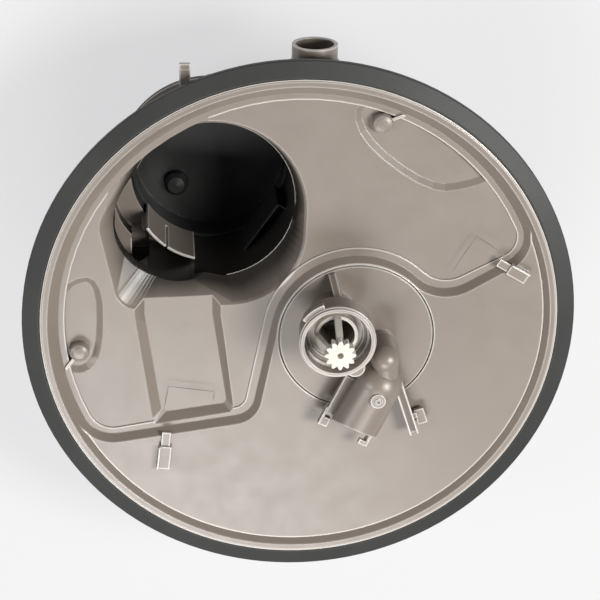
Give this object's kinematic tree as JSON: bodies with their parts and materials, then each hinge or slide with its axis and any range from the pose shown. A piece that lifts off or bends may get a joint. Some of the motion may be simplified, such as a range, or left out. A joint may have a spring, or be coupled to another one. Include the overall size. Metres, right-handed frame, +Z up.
{
  "type": "dishwasher pump motor assembly",
  "caption": "Round dishwasher sump with rim seal, filter well, twist-lock spray tower and delivery hood, with wash pump motor, water diverter and drain pump under it.",
  "frame": {"origin": "centre of the rim at the level of the seal's outer edge, which is the tub seat", "axes": "+Z up into the tub, +Y along the side pipe, +X to the right seen from above with the pipe at the top"},
  "size_m": [0.3899, 0.392, 0.206],
  "materials": {
    "taupe_plastic": "satin moulded, warm grey",
    "black_plastic": "moulded, black",
    "grey_plastic": "moulded, dark grey",
    "white_plastic": "moulded acetal, off white",
    "black_rubber": "dusty",
    "steel": "plated",
    "zinc_steel": "bright",
    "copper_wire": "enamelled wire",
    "ferrite": "bonded ferrite"
  },
  "bodies": {
    "sump": {"sump_body": "taupe_plastic", "rim_seal": "black_rubber", "well_baffle": "taupe_plastic", "well_screen": "black_plastic", "well_cup": "black_plastic", "cup_gasket": "black_rubber", "cup_screws": "steel", "cover_disc": "taupe_plastic", "cover_oring": "black_rubber", "delivery_hood": "taupe_plastic", "hood_pin": "zinc_steel", "latch_arm": "taupe_plastic", "sun_gear": "white_plastic", "diverter_bush": "zinc_steel", "diverter_seal": "black_rubber", "diverter_case": "black_plastic", "diverter_lid": "grey_plastic", "diverter_screws": "steel", "suction_sleeve": "black_rubber", "outlet_sleeve": "black_rubber", "hose_clamps": "steel", "volute_housing": "black_plastic", "volute_gasket": "black_rubber", "wear_ring": "zinc_steel", "seal_seat": "white_plastic", "back_plate": "black_plastic", "front_bearing": "zinc_steel", "rear_bearing": "zinc_steel", "stator_core": "steel", "stator_coils": "copper_wire", "motor_case": "steel", "motor_end_cap": "steel", "terminal_block": "white_plastic", "terminal_blades": "zinc_steel", "pump_screws": "steel", "motor_hanger": "black_plastic", "hanger_mounts": "black_rubber", "hanger_screws": "steel", "drain_flange": "black_plastic", "drain_bush": "zinc_steel", "drain_core": "steel", "drain_coil": "copper_wire", "drain_oring": "black_rubber", "check_pin": "steel", "turbidity_sensor": "black_plastic", "sensor_oring": "black_rubber"},
    "pump_rotor": {"impeller": "grey_plastic", "pump_shaft": "steel", "seal_ring": "black_rubber", "rotor_core": "steel"},
    "drain_rotor_set": {"drain_impeller": "white_plastic", "drain_shaft": "steel", "drain_rotor": "ferrite"},
    "diverter_set": {"diverter_disc": "white_plastic", "diverter_shaft": "steel"},
    "outlet_flap": {"check_flap": "black_rubber"}
  },
  "joints": [
    {"name": "wash_pump_spin", "type": "hinge", "parent": "sump", "child": "pump_rotor", "pos_m": [-0.0765, -0.08, -0.07], "axis": [0, 1, 0], "continuous": true},
    {"name": "drain_pump_spin", "type": "hinge", "parent": "sump", "child": "drain_rotor_set", "pos_m": [0.04, 0.0845, -0.112], "axis": [1, 0, 0], "continuous": true},
    {"name": "diverter_turn", "type": "hinge", "parent": "sump", "child": "diverter_set", "pos_m": [0.04, -0.01, -0.04], "axis": [0, 0, 1], "continuous": true},
    {"name": "check_flap_swing", "type": "hinge", "parent": "sump", "child": "outlet_flap", "pos_m": [0.0145, 0.1137, -0.0954], "axis": [1, 0, 0], "range_deg": [0, 45]}
  ]
}
